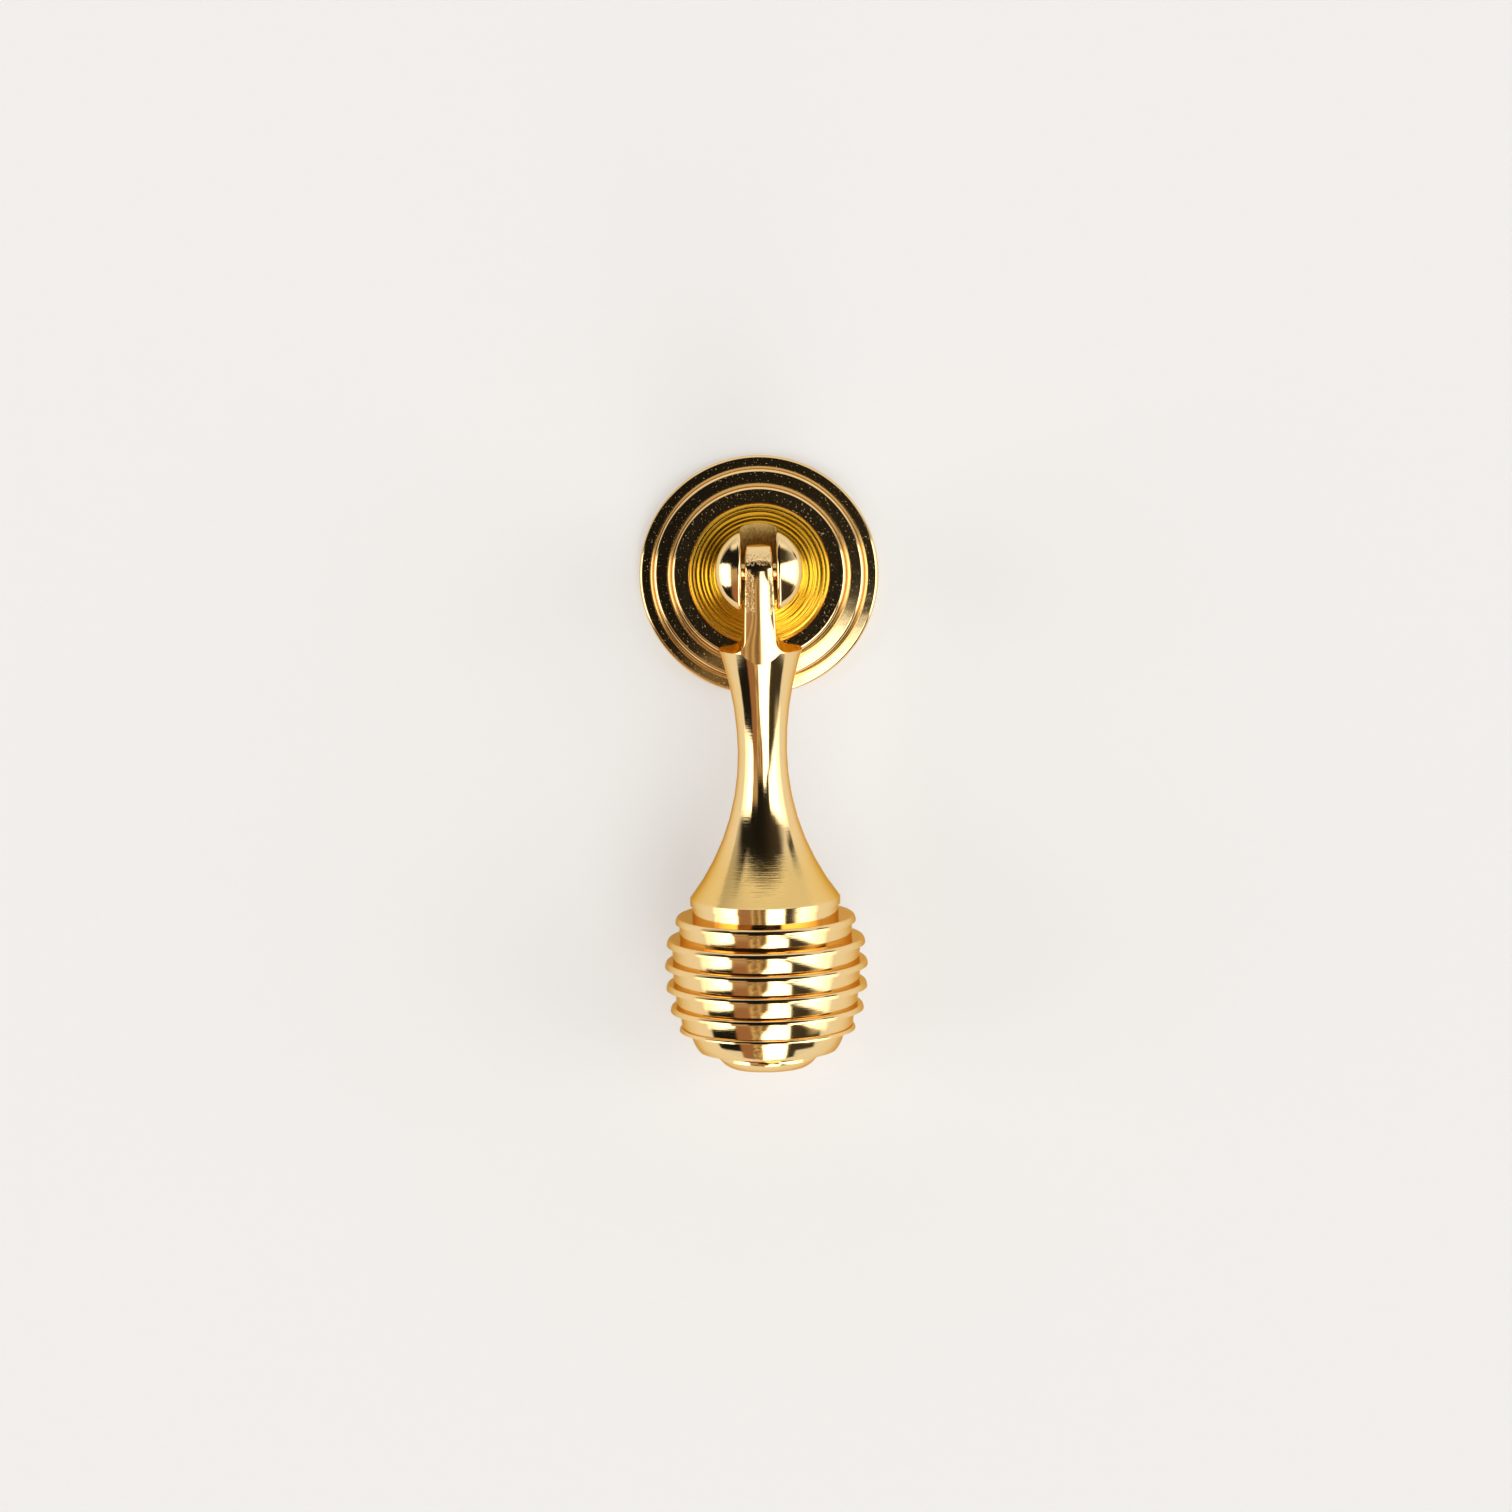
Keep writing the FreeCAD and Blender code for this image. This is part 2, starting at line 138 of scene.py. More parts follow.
class Skin:
    """Smooth patches welded into one closed mesh.

    A patch is a grid of points and a grid of normals, in millimetres in the shape's own directions.
    Each grid cell becomes two triangles, wound to agree with the normals. Points nearer than the weld
    share a vertex, and each triangle keeps its own patch's normals, so edges between patches stay crisp.
    """

    WELD = 1e-4
    TINY = 1e-12

    def __init__(self, place):
        self.turn, self.origin = place
        self.points, self.normals, self.triangles, self.count = [], [], [], 0

    def add(self, points, normals):
        """Add a patch: both grids are turned into the row frame, and cells are split along one diagonal."""
        points, normals = np.broadcast_arrays(points @ self.turn + self.origin, normals @ self.turn)
        rows, columns = points.shape[:2]
        number = np.arange(rows * columns).reshape(rows, columns)
        a, b, c, d = number[:-1, :-1], number[:-1, 1:], number[1:, 1:], number[1:, :-1]
        halves = [np.stack(half, -1).reshape(-1, 3) for half in ((a, b, c), (a, c, d))]
        triangles = np.concatenate(halves)
        flat, facing = points.reshape(-1, 3), normals.reshape(-1, 3)
        corner = flat[triangles]
        way = np.cross(corner[:, 1] - corner[:, 0], corner[:, 2] - corner[:, 0])
        wrong = (way * facing[triangles].sum(1)).sum(1) < 0
        triangles[wrong] = triangles[wrong][:, ::-1]
        self.points.append(flat)
        self.normals.append(facing)
        self.triangles.append(triangles + self.count)
        self.count += rows * columns

    def piece(self, name):
        """Weld the patches, drop triangles that a pole has folded to a line, and make the object."""
        points, normals = np.concatenate(self.points), np.concatenate(self.normals)
        triangles = np.concatenate(self.triangles)
        _, first, shared = np.unique(np.round(points / self.WELD).astype(np.int64), axis=0,
                                     return_index=True, return_inverse=True)
        welded = shared.reshape(-1)[triangles]
        whole = (welded != np.roll(welded, -1, axis=1)).all(1)
        welded, triangles = welded[whole], triangles[whole]
        mesh = bpy.data.meshes.new(name)
        mesh.vertices.add(len(first))
        mesh.vertices.foreach_set("co", (points[first] * MM).astype(np.float32).ravel())
        mesh.loops.add(welded.size)
        mesh.loops.foreach_set("vertex_index", welded.astype(np.int32).ravel())
        mesh.polygons.add(len(welded))
        mesh.polygons.foreach_set("loop_start", np.arange(0, welded.size, 3, dtype=np.int32))
        mesh.polygons.foreach_set("use_smooth", np.ones(len(welded), bool))
        mesh.update(calc_edges=True)
        facing = normals[triangles.reshape(-1)]
        facing /= np.maximum(np.linalg.norm(facing, axis=1, keepdims=True), self.TINY)
        mesh.normals_split_custom_set(facing.tolist())
        made = bpy.data.objects.new(name, mesh)
        bpy.context.scene.collection.objects.link(made)
        return made


def profile_runs(corners, side):
    """Each run of a turned profile as points and normals in the plane of radius and length.

    A corner is (radius, along, arc). The run to the next corner is a line, or an arc of that radius that
    bulges to the right of the way where it is positive and to the left where negative. Normals stand on the
    given side: 1 is left of the way, -1 right.
    """
    runs = []
    for (r0, a0, arc), (r1, a1, _) in zip(corners[:-1], corners[1:]):
        first, last = np.array((r0, a0), float), np.array((r1, a1), float)
        chord = last - first
        length = np.hypot(*chord)
        left = np.array((-chord[1], chord[0])) / length
        if arc is None:
            points = np.stack([first, last])
            runs.append((points, np.broadcast_to(left * side, points.shape)))
            continue
        bulge = math.copysign(1.0, arc)
        rise = math.sqrt(max(arc ** 2 - (length / 2) ** 2, 0.0))
        centre = (first + last) / 2 + left * bulge * rise
        start, end = (math.atan2(*(p - centre)[::-1]) for p in (first, last))
        sweep = (end - start + math.pi) % (2 * math.pi) - math.pi
        count = max(LEAST_ARC_POINTS, int(abs(sweep) / ARC_STEP) + 2)
        turn = start + sweep * np.linspace(0, 1, count)
        away = np.stack([np.cos(turn), np.sin(turn)], -1)
        runs.append((centre + abs(arc) * away, away * -bulge * side))
    return runs


def turn_profile(skin, corners, side, columns=4 * QUARTER):
    """A turned surface: each profile point carried round the axis on a full circle."""
    angle = np.linspace(0, 2 * math.pi, columns + 1)
    cosine, sine = np.cos(angle), np.sin(angle)
    for run in profile_runs(corners, side):
        points, normals = (stack(line[:, :1] * cosine, line[:, :1] * sine, line[:, 1:]) for line in run)
        skin.add(points, normals)


def stack(*parts):
    """Grids of one coordinate each, made into a grid of points."""
    return np.stack(np.broadcast_arrays(*parts), -1)


def level(direction, grid):
    """The same direction at every point of a grid."""
    return np.array(direction, float) + 0 * grid


def blend(low, high, value):
    """0 below low, 1 above high, and an even S between."""
    share = np.clip((value - low) / (high - low), 0, 1)
    return share * share * (3 - 2 * share)


def evenly(low, high, count):
    """Even steps from low, stopping a step short of high."""
    return np.linspace(low, high, count, endpoint=False)


def make_backplate():
    """Two coved steps and a dish, turned about the fixing axis; the two lower flats fall slightly outward."""
    skin = Skin(PLATE_PLACE)
    high_edge, low_edge = HIGH_FOOT - HIGH_COVE, LOW_FOOT - LOW_COVE
    low_fall = (low_edge - LOW_NOSE - HIGH_FOOT) * FLAT_FALL
    base_fall = (PLATE_RADIUS - RIM_ROUND - LOW_FOOT) * FLAT_FALL
    turn_profile(skin, [
        (SPIGOT_RADIUS + BORE_GAP, 0, None),
        (SPIGOT_RADIUS + BORE_GAP, -DISH_FLOOR, None),
        (DISH_FLOOR_RADIUS, -DISH_FLOOR, None),
        (DISH_LIP, -PLATE_TOP, None),
        (high_edge - HIGH_NOSE, -PLATE_TOP, HIGH_NOSE),
        (high_edge, HIGH_NOSE - PLATE_TOP, None),
        (high_edge, -MIDDLE_TOP - HIGH_COVE, -HIGH_COVE),
        (HIGH_FOOT, -MIDDLE_TOP, None),
        (low_edge - LOW_NOSE, low_fall - MIDDLE_TOP, LOW_NOSE),
        (low_edge, low_fall + LOW_NOSE - MIDDLE_TOP, None),
        (low_edge, -BASE_TOP - LOW_COVE, -LOW_COVE),
        (LOW_FOOT, -BASE_TOP, None),
        (PLATE_RADIUS - RIM_ROUND, base_fall - BASE_TOP, RIM_ROUND),
        (PLATE_RADIUS, base_fall + RIM_ROUND - BASE_TOP, None),
        (PLATE_RADIUS, 0, None),
        (SPIGOT_RADIUS + BORE_GAP, 0, None),
    ], -1)
    return skin.piece("turned_backplate")


def tangent_arc(length, rise):
    """Radius of the circle arc that starts along the axis and rises this far over this length."""
    return (length ** 2 + rise ** 2) / (2 * rise)


NECK_ARC = tangent_arc(NECK_LENGTH, RIM_RADIUS - WAIST_RADIUS)
SKIRT_ARC = tangent_arc(SKIRT_LENGTH, SKIRT_RADIUS - WAIST_RADIUS)


def neck_radius(along):
    """The neck's circle-arc profile, tangent to the axis at the waist."""
    return WAIST_RADIUS + NECK_ARC - np.sqrt(NECK_ARC ** 2 - (WAIST - along) ** 2)


def flat_depth(along):
    """How far the tang's flared faces stand from the axis."""
    return (EYE_RADIUS + along * FLAT_SINE) / FLAT_COSINE


def tang_half(along):
    """Half the tang's width: a straight taper, then a quarter round out to the collar's top."""
    share = (along - TANG_TOP) / (TANG_FOOT - TANG_TOP)
    taper = TANG_TOP_HALF + (TANG_FOOT_HALF - TANG_TOP_HALF) * share
    into = np.clip(along - TANG_FOOT, 0, TANG_FILLET)
    fillet = TANG_FOOT_HALF + TANG_FILLET - np.sqrt(TANG_FILLET ** 2 - into ** 2)
    return np.where(along < TANG_FOOT, taper, fillet)


def side_tilt(along, step=1e-4, steepest=60.0):
    """How fast the tang widens: a difference over a short step, held below the steepest."""
    along = np.minimum(along, SHOULDER - 2 * step)
    return np.minimum((tang_half(along + step) - tang_half(along - step)) / (2 * step), steepest)


def crossing(gap, low, high):
    """Where a falling difference of two lines reaches zero, by halving."""
    for _ in range(HALVINGS):
        middle = (low + high) / 2
        low, high = (middle, high) if gap(middle) > 0 else (low, middle)
    return (low + high) / 2


# Where the tang's quarter round meets the collar's outside, where the milled face runs out below it, and
# where the plain turned neck takes over.
HORN = crossing(lambda a: np.sqrt(RIM_RADIUS ** 2 - flat_depth(a) ** 2) - tang_half(a), TANG_FOOT, SHOULDER)
RUN_OUT = crossing(lambda a: neck_radius(a) - flat_depth(a), SHOULDER, SHOULDER + RUN_OUT_LIMIT)
JOIN = RUN_OUT + JOIN_GAP
SHOULDER_TURN = math.acos(tang_half(np.array(SHOULDER)) / RIM_RADIUS)
COLLAR_DOWN = RUN_OUT - (RUN_OUT - SHOULDER) * np.linspace(0, 1, COLLAR_ROWS + 1)[:-1]
HORN_DOWN = evenly(SHOULDER, HORN, HORN_ROWS)
FACE_DOWN = np.concatenate([
    COLLAR_DOWN,
    HORN_DOWN,
    evenly(HORN, TANG_FOOT, FILLET_ROWS),
    evenly(TANG_FOOT, SIDE_TOP, FLANK_ROWS),
    evenly(SIDE_TOP, -EYE_RADIUS * FLAT_SINE, TOP_ROWS),
])
QUARTERS = ((1, 1), (-1, 1), (-1, -1), (1, -1))


def add_tang_faces(skin):
    """The eye and the two flared faces; gives their points.

    A line runs down the front, over the eye and down the back. It is carried across the tang on a circle arc
    that flattens towards the collar, and at each side a tighter arc, tangent to it, rounds the edge.
    """
    face = FACE_DOWN
    eye = np.linspace(TANG_FLARE, math.pi - TANG_FLARE, EYE_ROWS)
    down = np.concatenate([face, -EYE_RADIUS * np.sin(eye), face[::-1]])
    line_y = np.concatenate([-flat_depth(face), -EYE_RADIUS * np.cos(eye), flat_depth(face[::-1])])

    def over_eye(flare):
        """Facing of the line: the faces' flare, and round the eye the circle's own."""
        y = np.concatenate([-np.cos(flare), -np.cos(eye), np.cos(flare[::-1])])
        z = np.concatenate([np.sin(flare), np.sin(eye), np.sin(flare[::-1])])
        return y[:, None], z[:, None]

    out_y, out_z = over_eye(np.full(len(face), TANG_FLARE))
    shade_y, shade_z = over_eye(TANG_FLARE - TANG_EASE * blend(*EASE_OVER, face))
    round_limit = np.where(down > SHOULDER, neck_radius(np.maximum(down, SHOULDER)), RIM_RADIUS)
    chord = np.sqrt(np.maximum(round_limit ** 2 - flat_depth(down) ** 2, 0))
    half = np.where(down > HORN, chord, tang_half(down))[:, None]
    edge = TANG_EDGE * (1 - blend(HORN - EDGE_FADE, HORN, down))[:, None]
    flatten = blend(*CROWN_FADE, down)[:, None]
    bend = (1 - flatten) / TANG_CROWN
    crown_half = (half - edge) / (1 - edge * bend)
    crown_turn = np.arcsin(crown_half * bend)
    middle = np.linspace(-1, 1, FACE_COLUMNS) * crown_half
    over = crown_turn + (math.pi / 2 - crown_turn) * np.linspace(0, 1, EDGE_COLUMNS)[1:]
    beyond = crown_half + edge * (np.sin(over) - np.sin(crown_turn))

    def crown_sink(offset):
        """How far the crown's circle has fallen at an offset from the middle."""
        return offset ** 2 * bend / (1 + np.sqrt(1 - (offset * bend) ** 2))

    fall = crown_sink(crown_half) + edge * (np.cos(crown_turn) - np.cos(over))
    x = np.concatenate([-beyond[:, ::-1], middle, beyond], 1)
    sink = np.concatenate([fall[:, ::-1], crown_sink(middle), fall], 1)
    roll = np.concatenate([-over[:, ::-1], np.arcsin(middle * (bend + COLLAR_BEND * flatten)), over], 1)
    points = stack(x, line_y[:, None] - out_y * sink, -down[:, None] - out_z * sink)
    skin.add(points, stack(np.sin(roll), shade_y * np.cos(roll), shade_z * np.cos(roll)))
    return points


def add_tang_side(skin, points, sign):
    """One side of the tang, ruled from the front face's edge to the back's.

    Round the eye it is a flat ring that runs in to the pin hole. At the foot it meets the collar's outside,
    and below that the collar's flat top.
    """
    column = -1 if sign > 0 else 0
    first, last = COLLAR_ROWS + HORN_ROWS, len(FACE_DOWN) - TOP_ROWS
    turn = np.linspace(-1, 1, 2 * SHOULDER_COLUMNS + 1) * SHOULDER_TURN
    share = 0.5 + np.sin(turn) / (2 * math.sin(SHOULDER_TURN))
    rows = np.arange(first, last + 1)
    front, back = points[rows, column], points[len(points) - 1 - rows, column]
    ruled = front[:, None] + (back - front)[:, None] * share[:, None]
    tilt = side_tilt(np.minimum(FACE_DOWN[rows], HORN))[:, None]
    skin.add(ruled, stack(sign, 0, tilt) + 0 * ruled)

    low = np.append(HORN_DOWN, HORN)
    width = tang_half(low)[:, None]
    reach = np.sqrt(RIM_RADIUS ** 2 - width ** 2)
    lower = stack(sign * width, reach * (2 * share - 1), -low[:, None])
    skin.add(lower, stack(sign, 0, side_tilt(low)[:, None]) + 0 * lower)

    loop = np.concatenate([points[last:len(points) - last, column], ruled[-1][::-1]])
    about = np.arctan2(loop[:, 2], loop[:, 1])
    hole_radius = PIN_RADIUS + PIN_PLAY
    hole_y, hole_z = hole_radius * np.cos(about), hole_radius * np.sin(about)
    rim = stack(sign * tang_half(-hole_z), hole_y, hole_z)
    ring = np.stack([loop, rim])
    skin.add(ring, level((sign, 0, 0), ring))
    bore = np.stack([rim, rim * (0, 1, 1)])
    skin.add(bore, -bore * (0, 1, 1))

    outside = stack(sign * RIM_RADIUS * np.cos(turn), RIM_RADIUS * np.sin(turn), -SHOULDER)
    foot = stack(sign * tang_half(np.array(SHOULDER)), RIM_RADIUS * np.sin(turn), -SHOULDER)
    ledge = np.stack([outside, foot])
    skin.add(ledge, level((0, 0, 1), ledge))


def add_horns(skin):
    """The collar's outside above its top: the rim's circle from the tang's side round to its milled face."""
    low = np.append(HORN_DOWN, HORN)
    start, end = np.arccos(tang_half(low) / RIM_RADIUS), np.arcsin(flat_depth(low) / RIM_RADIUS)
    turn = start[:, None] + (end - start)[:, None] * np.linspace(0, 1, QUARTER - SHOULDER_COLUMNS + 1)
    for sx, sy in QUARTERS:
        away = stack(sx * np.cos(turn), sy * np.sin(turn), 0)
        skin.add(away * RIM_RADIUS - low[:, None, None] * (0, 0, 1), away)


def add_collar(skin):
    """The turned collar below the shoulder: the neck's radius at each height, round to the milled face."""
    down = np.concatenate([[JOIN], COLLAR_DOWN, [SHOULDER]])
    radius = neck_radius(down)
    limit = np.where(down < RUN_OUT, np.arcsin(np.minimum(flat_depth(down) / radius, 1)), math.pi / 2)
    even = math.pi / 2 * SHOULDER_COLUMNS / QUARTER
    part = SHOULDER_TURN + (even - SHOULDER_TURN) * (down - SHOULDER) / (JOIN - SHOULDER)
    near = part[:, None] * np.linspace(0, 1, SHOULDER_COLUMNS + 1)
    far_share = np.linspace(0, 1, QUARTER - SHOULDER_COLUMNS + 1)[1:]
    far = part[:, None] + (limit - part)[:, None] * far_share
    turn = np.concatenate([near, far], 1)
    slope = -(WAIST - down) / np.sqrt(NECK_ARC ** 2 - (WAIST - down) ** 2)
    for sx, sy in QUARTERS:
        away = stack(sx * np.cos(turn), sy * np.sin(turn), 0)
        skin.add(away * radius[:, None, None] - down[:, None, None] * (0, 0, 1),
                 away + slope[:, None, None] * (0, 0, 1))


def make_drop():
    """One turned and milled piece: eye, tang and collar, then neck, skirt and rings on their turned profile.

    A ring is a bead whose top is rounded and whose face turns out to the crest on an arc, a level undercut,
    and a wall that bulges slightly.
    """
    skin = Skin(DROP_PLACE)
    points = add_tang_faces(skin)
    for sign in (1, -1):
        add_tang_side(skin, points, sign)
    add_horns(skin)
    add_collar(skin)
    place = SKIRT_EDGE + SKIRT_LAND
    corners = [
        (neck_radius(JOIN), -JOIN, NECK_ARC),
        (WAIST_RADIUS, -WAIST, SKIRT_ARC),
        (SKIRT_RADIUS, -SKIRT_EDGE, None),
        (SKIRT_RADIUS, -place, None),
        (BAND_RADIUS, -place, None),
        (BAND_RADIUS, -LEDGE, None),
    ]
    place = LEDGE
    for crest, height, bead, nose, undercut, draw, bulge in RINGS:
        turn_place = nose * (1 - math.sin(BEAD_TURN))
        face = (bead - turn_place) / math.sin(BEAD_TURN)
        turn_radius = crest - face * (1 - math.cos(BEAD_TURN))
        wall = bulge * math.hypot(height - bead, draw - undercut)
        corners += [
            (turn_radius - nose * math.cos(BEAD_TURN), -place, -nose),
            (turn_radius, -place - turn_place, -face),
            (crest, -place - bead, None),
            (crest - undercut, -place - bead, -wall),
        ]
        place += height
        corners.append((crest - draw, -place, None))
    corners.append((0, -place, None))
    turn_profile(skin, corners, 1)
    return skin.piece("beehive_drop")


SLOT_LEAN = TANG_FLARE + LEAN
SLOT_FLOOR = EYE_RADIUS / math.cos(SLOT_LEAN) + STEM_RADIUS * math.tan(SLOT_LEAN) + SLOT_FLOOR_GAP
CUTTER = (WEB_REACH ** 2 + SLOT_FLOOR ** 2) / (2 * SLOT_FLOOR)
CUTTER_SHIFT = SLOT_FLOOR - CUTTER
SLOT_HALF = float(tang_half(np.array(WEB_REACH))) + SLOT_SIDE_GAP
WEB_ARC = tangent_arc(SLOT_HALF + WEB_LAP, WEB_REACH - WEB_END_REACH)
EDGE_CENTRE = HEAD_RADIUS - DOME_EDGE
CROWN_ARC = (EDGE_CENTRE ** 2 + DOME_DEPTH ** 2 - DOME_EDGE ** 2) / (2 * (DOME_DEPTH - DOME_EDGE))
CROWN_CENTRE = CROWN_ARC - DOME_DEPTH - BELT_FRONT
CROWN_EDGE = -BELT_FRONT - (CROWN_ARC - DOME_DEPTH) * DOME_EDGE / (CROWN_ARC - DOME_EDGE)


def head_profile(depth):
    """The head's squared radius at a depth behind the pin, and half its slope.

    From the front: the crown's large circle arc, the edge's small one, the straight belt and the round back.
    """
    tiny = 1e-9
    crown = CROWN_ARC ** 2 - (depth - CROWN_CENTRE) ** 2
    edge_root = np.sqrt(np.maximum(DOME_EDGE ** 2 - (depth + BELT_FRONT) ** 2, tiny))
    edge_slope = -(EDGE_CENTRE + edge_root) * (depth + BELT_FRONT) / edge_root
    back = HEAD_RADIUS ** 2 - (depth - BELT_BACK) ** 2
    zone = [depth < CROWN_EDGE, depth < -BELT_FRONT, depth < BELT_BACK]
    belt = HEAD_RADIUS ** 2 + 0 * depth
    squared = np.select(zone, [crown, (EDGE_CENTRE + edge_root) ** 2, belt], back)
    slope = np.select(zone, [CROWN_CENTRE - depth, edge_slope, 0 * depth], BELT_BACK - depth)
    return squared, slope


def head_reach(turn, x):
    """How far the head's surface is from the pin's line at a turn about it, by halving."""
    turn, x = np.broadcast_arrays(turn, x)
    low, high = np.zeros(turn.shape), np.full(turn.shape, REACH_LIMIT)
    for _ in range(HALVINGS):
        middle = (low + high) / 2
        inside = x ** 2 + (middle * np.sin(turn)) ** 2 < head_profile(middle * np.cos(turn))[0]
        low, high = np.where(inside, middle, low), np.where(inside, high, middle)
    return (low + high) / 2


def head_normal(depth, height, x):
    """The turned surface's facing: out along the radius, and against the profile's slope along the depth."""
    normal = stack(-head_profile(depth)[1], height, x)
    return normal / np.linalg.norm(normal, axis=-1, keepdims=True)


def web_reach(x):
    """The web's radius about the pin, a circle arc across the slot."""
    return WEB_REACH - WEB_ARC + np.sqrt(WEB_ARC ** 2 - x ** 2)


def floor_radius(turn):
    """The slot floor's distance from the pin: a flat below the pin, the cutter's circle above it."""
    circle = CUTTER_SHIFT * np.cos(turn) + np.sqrt(CUTTER ** 2 - (CUTTER_SHIFT * np.sin(turn)) ** 2)
    return np.where(turn < 0, SLOT_FLOOR / np.cos(np.minimum(turn, 0)), circle)


def core_turns(x):
    """Even turns about the pin over the stretch where the slot's floor is backed by the head or its web."""
    radius = web_reach(x)
    low = -np.arctan2(np.sqrt(head_profile(np.array(SLOT_FLOOR))[0] - x ** 2), SLOT_FLOOR)
    high = np.arccos((radius ** 2 + CUTTER_SHIFT ** 2 - CUTTER ** 2) / (2 * radius * CUTTER_SHIFT))
    return low + (high - low) * np.linspace(0, 1, CORE_POINTS)


def add_ears(skin):
    """The head at both sides of the slot, with the slot's walls, the web's cheeks and the pin's holes.

    An ear is the head's turned surface cut in slices along the pin, each a line of points round the pin, from
    the slot's wall out to the pin hole. Beside the slot it sinks on a quarter circle, so the edge is rounded.
    """
    core = core_turns(SLOT_HALF)
    rest = np.linspace(core[-1], core[0] + 2 * math.pi, EAR_POINTS)
    turn = np.concatenate([core, rest[1:]])
    cosine, sine = np.cos(turn), np.sin(turn)
    hole = np.sqrt(head_profile(PIN_RADIUS * cosine)[0] - (PIN_RADIUS * sine) ** 2)
    free = np.append(np.full(len(core), -math.inf), np.minimum(rest[1:] - core[-1], rest[-1] - rest[1:]))
    rounded = SLOT_ROUND * blend(0, ROUND_FADE, free)
    band = np.maximum(rounded, LEAST_BAND)
    across = np.concatenate([np.linspace(0, 1, ROUND_COLUMNS)[:-1],
                             1 + np.sin(np.linspace(0, math.pi / 2, EAR_COLUMNS))])[:, None]
    x = SLOT_HALF + np.where(across < 1, band * (1 - np.cos(across * math.pi / 2)),
                             band + (hole - SLOT_HALF - band) * (across - 1))
    into = np.clip((SLOT_HALF + band - x) / band, 0, 1)
    reach = head_reach(turn, x)
    depth, height = reach * cosine, reach * sine
    normal = head_normal(depth, height, x)
    sink = rounded * (1 - np.sqrt(1 - into ** 2))
    surface = stack(depth, height, x) - normal * sink[..., None]
    surface[0, :, 2] = SLOT_HALF
    turned_in = np.where(rounded > 0, into, 0)[..., None]
    normal = normal * np.sqrt(1 - turned_in ** 2) - turned_in * (0, 0, 1)

    floor = np.append(floor_radius(core), np.full(len(rest) - 1, np.inf))
    edge_depth, edge_height = surface[0, :, 0], surface[0, :, 1]
    edge_reach = np.hypot(edge_depth, edge_height)
    limit = np.minimum(edge_reach, floor) / edge_reach
    pin_depth, pin_height = PIN_RADIUS * cosine, PIN_RADIUS * sine
    backed = slice(0, len(core))
    cheek_inner = np.maximum(floor, edge_reach)[backed]
    cheek_outer = np.maximum(cheek_inner, web_reach(SLOT_HALF))
    for sign in (1, -1):
        flip = (1, 1, sign)
        skin.add(surface * flip, normal * flip)
        wall = np.stack([stack(pin_depth, pin_height, SLOT_HALF),
                         stack(edge_depth * limit, edge_height * limit, SLOT_HALF)]) * flip
        skin.add(wall, level((0, 0, -sign), wall))
        bore = np.stack([stack(pin_depth, pin_height, end) for end in (SLOT_HALF, hole)]) * flip
        skin.add(bore, bore * (-1, -1, 0))
        cheek = np.stack([stack(r * cosine[backed], r * sine[backed], SLOT_HALF)
                          for r in (cheek_inner, cheek_outer)]) * flip
        skin.add(cheek, level((0, 0, sign), cheek))


def add_core(skin):
    """The metal behind the slot: from its floor out to the head's back or the web, whichever is further."""
    x = np.linspace(-SLOT_HALF, SLOT_HALF, CORE_COLUMNS)[:, None]
    turn = core_turns(x)
    cosine, sine = np.cos(turn), np.sin(turn)
    x = x + 0 * turn
    plain = head_reach(turn, x)
    radius = np.maximum(plain, np.where(turn > 0, web_reach(x), 0))
    depth, height = radius * cosine, radius * sine
    web_normal = stack(cosine, sine, x / np.sqrt(WEB_ARC ** 2 - x ** 2))
    proud = (radius > plain)[..., None]
    skin.add(stack(depth, height, x), np.where(proud, web_normal, head_normal(depth, height, x)))
    radius = floor_radius(turn)
    depth, height = radius * cosine, radius * sine
    skin.add(stack(depth, height, x),
             stack(np.where(height < 0, -1.0, (CUTTER_SHIFT - depth) / CUTTER),
                   np.where(height < 0, 0.0, -height / CUTTER), 0))


def add_thread(skin, mouth):
    """The tapped hole: a flattened triangle wave that climbs one pitch a turn, chamfered at the mouth."""
    angle = np.linspace(0, 2 * math.pi, SLIM_COLUMNS + 1)
    cosine, sine = np.cos(angle), np.sin(angle)
    down = np.linspace(0, TAP_DEPTH, THREAD_ROWS)[:, None]
    phase = (down / THREAD_PITCH + angle / (2 * math.pi)) % 1
    wave = np.clip(THREAD_STEEP * (1 - np.abs(2 * phase - 1)) - THREAD_FLAT, 0, 1)
    steep = 2 * THREAD_STEEP * THREAD_HEIGHT / THREAD_PITCH
    slope = np.where((wave > 0) & (wave < 1), steep * np.sign(0.5 - phase), 0)
    fade = 1 - blend(TAP_DEPTH - THREAD_FADE, TAP_DEPTH, down)
    cut = TAP_RADIUS + THREAD_HEIGHT * wave * fade
    chamfer = mouth - down
    radius, slope = np.maximum(cut, chamfer), np.where(chamfer > cut, -1.0, slope * fade)
    skin.add(stack(radius * cosine, radius * sine, -down), stack(-cosine, -sine, -slope))
    cone = np.stack([stack(TAP_RADIUS * cosine, TAP_RADIUS * sine, -TAP_DEPTH),
                     stack(0 * angle, 0 * angle, -TAP_DEPTH - DRILL_POINT)])
    skin.add(cone, level((0, 0, 1), cone))


